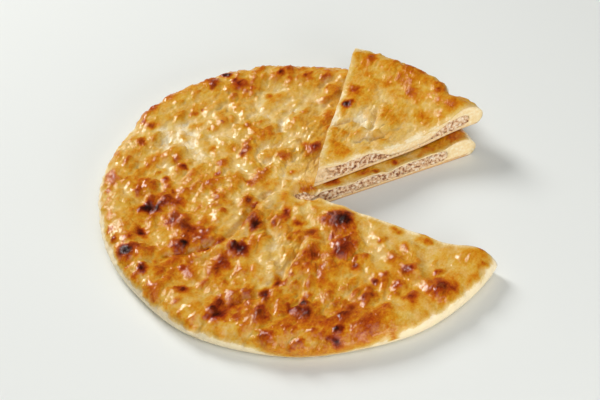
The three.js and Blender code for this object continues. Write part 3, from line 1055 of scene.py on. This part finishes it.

# %% [markdown]
# ## Browning
#
# What the eye reads first is the browning: blisters and ridges meet the heat first and go brown, hollows
# stay pale. It could be painted on, but then colour and relief would drift apart, so most of it is worked
# out from the shape. Each vertex of the crust gets a bake from 0, pale dough, to 1, charred. It sums
# broad patches, the height of the skin, the edge of the pie and the single charred blisters. Lines along
# a few creases and along the torn edge of the gap add painted shade to the bake, darker where shadow
# falls in a crease or under the overhanging dough; one line is paler along a fold's ridge.

# %% Places of browning
PATCHES = (  # angle, away, reach, how much browner
    (-160, 95, 60, 0.09), (-128, 125, 55, 0.12), (-85, 135, 60, 0.13), (-55, 95, 60, 0.1),
    (95, 60, 70, -0.05), (138, 115, 40, -0.06), (121, 83, 30, -0.12), (103, 99, 35, -0.08),
    (110, 25, 30, -0.15), (-35, 94, 35, -0.07), (-48, 86, 25, -0.08), (-113, 62, 25, -0.1),
    (-31, 134, 28, -0.1), (-171, 109, 35, 0.16), (-149, 87, 30, 0.12), (-146, 116, 35, 0.1),
    (-107, 130, 35, 0.08), (-72, 143, 30, 0.18), (-38, 39, 28, 0.14), (-44, 145, 25, 0.16),
    (114, 141, 25, 0.08), (81, 137, 25, 0.03), (79, 120, 16, -0.16), (175, 77, 28, -0.03),
    (-86, 44, 25, 0.06), (-94, 115, 30, 0.08), (-55, 123, 25, 0.08), (-27, 148, 26, 0.03),
    (-80, 102, 20, 0.1), (20, 31, 14, 0.18), (22.5, 56, 16, 0.15), (23.5, 86, 16, 0.15),
    (24, 116, 16, 0.18), (24.5, 139, 18, 0.17), (150, 112, 45, -0.22), (-30, 112, 55, 0.02),
    (178, 152, 34, -0.06), (-98, 140, 45, 0.06), (17, 23, 7, 0.16), (16, 30.5, 6, 0.16),
    (-61, 63, 34, 0.11), (72, 12.6, 12, -0.16), (-171, 29, 34, -0.1), (-41, 121, 30, -0.05),
    (152, 142, 34, -0.08),
)
# Lines that change the bake: painted shade under the torn dough's edge and in a few creases, one of them
# with some browning, and one line paler along a fold's ridge.
SHADE_AND_BAKE_LINES = {  # how much browner, reach, points of its line
    pie_crust: (
        # painted shadow: darker under the torn dough's overhanging edge
        (0.28, 1.9, ((0, 2.2), (7, 1.8), (13, 2.4))),  # the torn dough's edge
        # painted shade in this fold's valley
        (0.12, 3.5, FOLDS[0][2]),
        (-0.12, 6, FOLDS[1][2]),
        # painted shade along this crease, with some browning
        (0.08, 3.5, FOLDS[2][2]),
    ),
    # painted shade: darker along each sunken crease of the slice
    slice_crust: [(0.06, 2.6, points) for lift, _, points in SLICE_FOLDS if lift < 0],
}
SLICE_PATCHES = (
    (7.5, 68, 34, -0.25), (0, 140, 40, 0.10), (10, 40, 18, 0.08), (-20, 145, 25, 0.05),
)
PIE_BAKE = 0.272
SLICE_BAKE = 0.285
BASE_BAKE = 0.42
BAKE_PER_MM = {"blister": 0.03, "puff": 0.065, "ridge": 0.10}
BAKED_EDGE = {"amount": 0.05, "from": 120, "to": 146}
BAKE_CLOUDS = ((0.10, 26), (0.07, 11))  # amount, size
CHARRED_CLOUDS = (0.5, 5)
# crumb at the base is browner: partly the baked underside, partly painted shade where the base meets what
# it stands on
BASE_CRUMB = {pie_crust: 0.27, slice_crust: 0.12}
PALE_CUT = 0.22
PALE_CUT_REACH = {pie_crust: 4.5, slice_crust: 7}
PALE_SIDE = {"amount": 0.42, "level": (8.5, 14), "edge": (0.90, 0.94), "clouds": (2.5, 14), "per_mm": 0.032}
BAKED_FRONT = (-85, 160, 80)  # angle, away, reach
FRONT_LOWER = 7
SLICE_BROWN = 0.5
RELIEF = 3
BASE_LEVEL = 0.5

# %% Browning tools


def clouds(places, amount, size):
    return amount * patchy(places, size)


def pale_side(level, outline):
    """The side of the edge stays pale: further up on the right, hardly at the front."""
    far = from_spot(level, (0, 0)) / outline(np.arctan2(level[:, 1], level[:, 0]))
    front = FRONT_LOWER * near_spot(level, *BAKED_FRONT)
    aside = PALE_SIDE["per_mm"] * np.maximum(level[:, 0], -level[:, 0] / 2)
    height = level[:, 2] + clouds(level, *PALE_SIDE["clouds"]) + front - aside
    low, high = PALE_SIDE["level"]
    return PALE_SIDE["amount"] * smooth_step(-height, -high, -low) * smooth_step(far, *PALE_SIDE["edge"])


def browning(piece, level, brown, puffs, ridges, start, patches, charred, cuts, outline):
    places = places_of(piece)
    bake = start + brown + BAKE_PER_MM["puff"] * puffs + BAKE_PER_MM["ridge"] * ridges
    bake += BAKE_PER_MM["blister"] * np.clip(places[:, 2] - level[:, 2], -RELIEF, RELIEF)
    bake += sum(clouds(places, *kind) for kind in BAKE_CLOUDS)
    for angle, away, reach, amount in patches:
        bake += amount * near_spot(places, angle, away, reach)
    bake += BAKED_EDGE["amount"] * beyond(level, BAKED_EDGE)
    bake -= PALE_CUT * beside_cut(places, PALE_CUT_REACH[piece], *cuts)
    bake -= pale_side(level, outline)
    bake[level[:, 2] < BASE_LEVEL] = BASE_BAKE
    frayed = 1 + clouds(places, *CHARRED_CLOUDS)
    for angle, away, radius, dark in charred:
        spot = fade(from_spot(places, polar(angle, away)) * frayed, CHARRED_REACH["bake"] * radius)
        bake = np.where(level[:, 2] > NOSE_LEVEL, np.maximum(bake, bake + (dark - bake) * spot), bake)
    # painted shade along the creases and under the torn edge, and the paler ridge line
    for amount, reach, points in SHADE_AND_BAKE_LINES[piece]:
        bake += amount * fade(from_line(places, points), reach)
    return bake


# %% Brown both crusts
for piece, level, *recipe in (
    (
        pie_crust, pie_level, pie_brown, pie_puffs, pie_ridges,
        PIE_BAKE, PATCHES, CHARRED, GAP_CUTS, pie_outline,
    ),
    (
        slice_crust, slice_level, SLICE_BROWN * slice_brown, slice_puffs, slice_ridges,
        SLICE_BAKE, SLICE_PATCHES, SLICE_CHARRED, SLICE_CUTS, slice_outline,
    ),
):
    bake = browning(piece, level, *recipe)
    inner = read_value(piece, "depth") > 0
    # the base's crumb gets that bake: baked underside and painted shade where it stands
    bake[inner] = np.where(level[inner, 2] < BASE_DOUGH, BASE_CRUMB[piece], 0)
    write_value(piece, "bake", bake)
    print(piece.name, "bake from", bake.min().round(2), "to", bake.max().round(2))

# %% [markdown]
# ## Laying the slice on the pie
#
# The finished slice bends up over the pie's raised edge, turns round its tip and rests on the top. It
# could have been modelled where it lies, but in the place that it was cut from the same steps served both
# crusts, so it is moved last. Applying the place to the mesh keeps the patterns of the finishes from
# sliding.

# %% Lay the slice
PIE_AXIS = Vector((5.72, 1.9, 0))  # the pie's middle, seen from the frame's origin
for piece in (slice_crust, slice_filling):
    places = places_of(piece)
    far = from_spot(places, (0, 0))
    places[:, 0] += SLICE_SHEAR["by"] * fade(far, SLICE_SHEAR["reach"]) * places[:, 2] / TOP_HEIGHT
    places[:, 2] += SLICE_BEND["rise"] * smooth_step(far, SLICE_BEND["from"], SLICE_BEND["to"])
    put_places(piece, places)
    piece.rotation_euler.z = math.radians(SLICE_TURN)
    piece.location = (SLICE_TIP + PIE_AXIS) * MM
for piece in (pie_crust, pie_filling):
    piece.location = PIE_AXIS * MM
for piece in (pie_crust, pie_filling, slice_crust, slice_filling):
    activate(piece)
    bpy.ops.object.transform_apply(location=True, rotation=True, scale=True)
    bpy.ops.object.shade_smooth()
print("top of the slice at", places_of(slice_crust)[:, 2].max().round(1), "mm")

# %% [markdown]
# ## Finishes
#
# Every finish is built from nodes. One function adds a node, with its settings and its links. Patterns
# follow the object's own coordinates in metres, so a real size in millimetres is turned into a scale, and
# colours are written as sRGB hex values and turned into the linear numbers that light is added up in.

# %% Node and colour tools


def linear(code):
    """An sRGB hex colour as the linear numbers that the shaders take."""
    shares = [int(code[i:i + 2], 16) / 255 for i in (1, 3, 5)]
    return (*(s / 12.92 if s <= 0.04045 else ((s + 0.055) / 1.055) ** 2.4 for s in shares), 1.0)


def per_metre(size):
    """How many of a pattern of that size, in millimetres, fit in a metre."""
    return 1 / (size * MM)


def add_node(tree, kind, values=None, links=None, stops=None, **settings):
    node = tree.nodes.new(kind)
    for key, value in settings.items():
        setattr(node, key, value)
    for key, value in (values or {}).items():
        node.inputs[key].default_value = value
    for key, socket in (links or {}).items():
        tree.links.new(socket, node.inputs[key])
    if stops:
        ramp = node.color_ramp.elements
        while len(ramp) < len(stops):
            ramp.new(1)
        for element, (position, code) in zip(ramp, stops):
            element.position = position
            element.color = linear(code)
    return node


def new_finish(name, rough, **values):
    """A material with its node tree, its shader and the coordinates that its patterns follow."""
    finish = bpy.data.materials.new(name)
    finish.use_nodes = True
    tree = finish.node_tree
    shader = tree.nodes["Principled BSDF"]
    for key, value in {"Roughness": rough, **values}.items():
        shader.inputs[key.replace("_", " ")].default_value = value
    where = add_node(tree, "ShaderNodeTexCoord").outputs["Object"]
    return finish, tree, shader, where


# %% [markdown]
# ## Baked dough
#
# The skin is yeast dough, browned by the oven: cream where it stayed pale, then straw, gold, amber and
# brown to char. Butter gives it a wet gloss, IOR a little over 1.4, as a coat that charred spots have
# soaked up. Noise of several sizes breaks the bake into the mottling of real crust. The finest crinkles
# of a real crust are under a millimetre and would not show, so they are drawn about twice as large.

# %% Baked dough
CRUST_STOPS = (
    (0.00, "#f6e4bb"), (0.12, "#e5c480"), (0.24, "#dbb15a"), (0.34, "#d69f35"), (0.44, "#ce8612"),
    (0.54, "#be6504"), (0.64, "#a54502"), (0.76, "#782702"), (0.88, "#431304"), (1.00, "#190805"),
)
MOTTLING = ((12, 0.12), (4.5, 0.20), (1.7, 0.18))  # size, amount
CRINKLE_BROWN = 0.22


def baked_dough(name, butter):
    finish, tree, shader, where = new_finish(
        name, 0.5, IOR=1.46, Specular_IOR_Level=0.03, Coat_Roughness=0.08, Coat_IOR=1.42,
    )
    turned = add_node(
        tree, "ShaderNodeMapping", {"Rotation": (0, 0, -math.radians(WRINKLE_HEADING))}, {"Vector": where},
    )
    drawn = add_node(
        tree, "ShaderNodeMapping", {"Scale": (0.5, 1, 1)}, {"Vector": turned.outputs["Vector"]},
    )
    crinkle = add_node(
        tree, "ShaderNodeTexNoise", {"Scale": per_metre(1.8), "Detail": 2.5},
        {"Vector": drawn.outputs["Vector"]},
    ).outputs["Fac"]
    where_crinkled = add_node(
        tree, "ShaderNodeTexNoise", {"Scale": per_metre(20), "Detail": 1.0}, {"Vector": where},
    )
    strength = add_node(
        tree, "ShaderNodeMapRange", {"From Min": 0.38, "From Max": 0.62, "To Min": 0.25},
        {"Value": where_crinkled.outputs["Fac"]},
    )
    bump = add_node(
        tree, "ShaderNodeBump", {"Distance": 0.9 * MM},
        {"Height": crinkle, "Strength": strength.outputs["Result"]},
    )
    bake = add_node(tree, "ShaderNodeAttribute", attribute_name="bake").outputs["Fac"]
    patterns = [(crinkle, CRINKLE_BROWN)]
    for size, amount in MOTTLING:
        mottle = add_node(tree, "ShaderNodeTexNoise", {"Scale": per_metre(size)}, {"Vector": where})
        patterns.append((mottle.outputs["Fac"], amount))
    for pattern, amount in patterns:
        centred = add_node(tree, "ShaderNodeMath", {1: 0.5}, {0: pattern}, operation="SUBTRACT")
        bake = add_node(
            tree, "ShaderNodeMath", {1: amount}, {0: centred.outputs[0], 2: bake}, operation="MULTIPLY_ADD",
        ).outputs[0]
    colour = add_node(tree, "ShaderNodeValToRGB", links={"Fac": bake}, stops=CRUST_STOPS)
    drift = add_node(tree, "ShaderNodeTexNoise", {"Scale": per_metre(8), "Detail": 1.0}, {"Vector": where})
    hue = add_node(
        tree, "ShaderNodeMapRange", {"From Min": 0.3, "From Max": 0.7, "To Min": 0.493, "To Max": 0.504},
        {"Value": drift.outputs["Fac"]},
    )
    tinted = add_node(
        tree, "ShaderNodeHueSaturation",
        links={"Hue": hue.outputs["Result"], "Color": colour.outputs["Color"]},
    )
    gloss = add_node(
        tree, "ShaderNodeMapRange", {"From Min": 0.6, "From Max": 0.95, "To Min": butter, "To Max": 0.15},
        {"Value": bake},
    )
    tree.links.new(gloss.outputs["Result"], shader.inputs["Coat Weight"])
    tree.links.new(tinted.outputs["Color"], shader.inputs["Base Color"])
    for socket in ("Normal", "Coat Normal"):
        tree.links.new(bump.outputs["Normal"], shader.inputs[socket])
    return finish


buttered_crust = baked_dough("buttered_crust", 0.8)
dry_crust = baked_dough("dry_crust", 0.35)
print("crust finishes:", buttered_crust.name, dry_crust.name)

# %% [markdown]
# ## Crumb and mince
#
# At a cut, soft wheat crumb looks pale and matt, because its torn cells scatter the light. Its pores are
# under a millimetre and would not show, so they are drawn larger. Cooked mince is pinkish and moist, IOR
# about 1.4 as of meat juice. Each vertex keeps how far it sank among the crumbs, and the pits are darkened
# just where they are: partly the darker meat there, partly painted shade in the hollows.

# %% Crumb and mince
CRUMB_STOPS = ((0.3, "#f3d699"), (0.5, "#f8deab"), (0.7, "#fdf0cf"))
MINCE_STOPS = (
    (0.34, "#754227"), (0.40, "#b0784e"), (0.45, "#d6aa7e"), (0.53, "#e8c8a0"), (0.64, "#f9e8d0"),
)


def cut_crumb(name):
    finish, tree, shader, where = new_finish(name, 0.7, Specular_IOR_Level=0.2)
    pores = add_node(
        tree, "ShaderNodeTexNoise", {"Scale": per_metre(2.6), "Detail": 4.0}, {"Vector": where},
    ).outputs["Fac"]
    colour = add_node(tree, "ShaderNodeValToRGB", links={"Fac": pores}, stops=CRUMB_STOPS)
    bake = add_node(tree, "ShaderNodeAttribute", attribute_name="bake").outputs["Fac"]
    # browner by the bake: browned next to the skin, and at the base partly painted shade
    baked = add_node(
        tree, "ShaderNodeMapRange", {"From Min": 0.05, "From Max": 0.42, "To Max": 0.85}, {"Value": bake},
    )
    edged = add_node(
        tree, "ShaderNodeMixRGB", {"Color2": linear("#c07c34")},
        {"Fac": baked.outputs["Result"], "Color1": colour.outputs["Color"]},
    )
    tree.links.new(edged.outputs["Color"], shader.inputs["Base Color"])
    bump = add_node(tree, "ShaderNodeBump", {"Strength": 0.3, "Distance": 0.5 * MM}, {"Height": pores})
    tree.links.new(bump.outputs["Normal"], shader.inputs["Normal"])
    return finish


def chicken_mince(name):
    finish, tree, shader, where = new_finish(name, 0.45, IOR=1.40)
    sunk = add_node(tree, "ShaderNodeAttribute", attribute_name="sunk").outputs["Fac"]
    meat = add_node(tree, "ShaderNodeTexNoise", {"Scale": per_metre(2.7), "Detail": 3.0}, {"Vector": where})
    colour = add_node(tree, "ShaderNodeValToRGB", links={"Fac": meat.outputs["Fac"]}, stops=MINCE_STOPS)
    # painted shade in the pits, with the darker meat there: the deeper a vertex sank, the darker
    pit_shade = add_node(
        tree, "ShaderNodeMapRange", {"From Min": 0.6, "From Max": 1.2, "To Max": 0.48}, {"Value": sunk},
    )
    shade = add_node(
        tree, "ShaderNodeMixRGB", {"Color2": linear("#6b3a22")},
        {"Fac": pit_shade.outputs["Result"], "Color1": colour.outputs["Color"]},
    )
    lean = add_node(tree, "ShaderNodeAttribute", attribute_name="lean").outputs["Fac"]
    doughy = add_node(
        tree, "ShaderNodeMixRGB", {"Color2": linear("#f3d8a4")},
        {"Fac": lean, "Color1": shade.outputs["Color"]},
    )
    tree.links.new(doughy.outputs["Color"], shader.inputs["Base Color"])
    return finish


crumb = cut_crumb("cut_crumb")
mince = chicken_mince("chicken_mince")
print("finishes of the cuts:", crumb.name, mince.name)

# %% [markdown]
# ## Dressing the pieces
#
# A crust has two finishes: its skin, and crumb on every face that lies deeper than the skin. Smooth
# shading joins the faces, because even the crumb has no flat facets.

# %% Dress the pieces


def face_depth(piece, depth):
    """Mean depth of each face: 0 on the skin."""
    corners = np.empty(len(piece.data.loops), int)
    piece.data.loops.foreach_get("vertex_index", corners)
    starts = np.empty(len(piece.data.polygons), int)
    totals = np.empty(len(piece.data.polygons), int)
    piece.data.polygons.foreach_get("loop_start", starts)
    piece.data.polygons.foreach_get("loop_total", totals)
    return np.add.reduceat(depth[corners], starts) / totals


for piece, skin in ((pie_crust, buttered_crust), (slice_crust, dry_crust)):
    piece.data.materials.append(skin)
    piece.data.materials.append(crumb)
    cut = face_depth(piece, read_value(piece, "depth")) > 0
    piece.data.polygons.foreach_set("material_index", cut.astype(np.int32))
    piece.data.polygons.foreach_set("use_smooth", np.ones(len(cut), bool))
for piece in (pie_filling, slice_filling):
    piece.data.materials.append(mince)

floor_finish, _, floor_shader, _ = new_finish("pale_floor", 0.9, Specular_IOR_Level=0.1)
floor_shader.inputs["Base Color"].default_value = linear("#e6e8e4")
floor.data.materials.append(floor_finish)
print("dressed:", [piece.name for piece in (pie_crust, pie_filling, slice_crust, slice_filling)])

# %% [markdown]
# ## Riding on the frame
#
# Every piece rides on the part's one body and takes the place of its solid, which is hidden.

# %% Ride on the frame
for piece, node, slot in (
    (pie_crust, "pie_crust", "baked_dough"),
    (pie_filling, "pie_filling", "minced_chicken"),
    (slice_crust, "slice_crust", "baked_dough"),
    (slice_filling, "slice_filling", "minced_chicken"),
):
    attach(piece, "root")
    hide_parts(node)
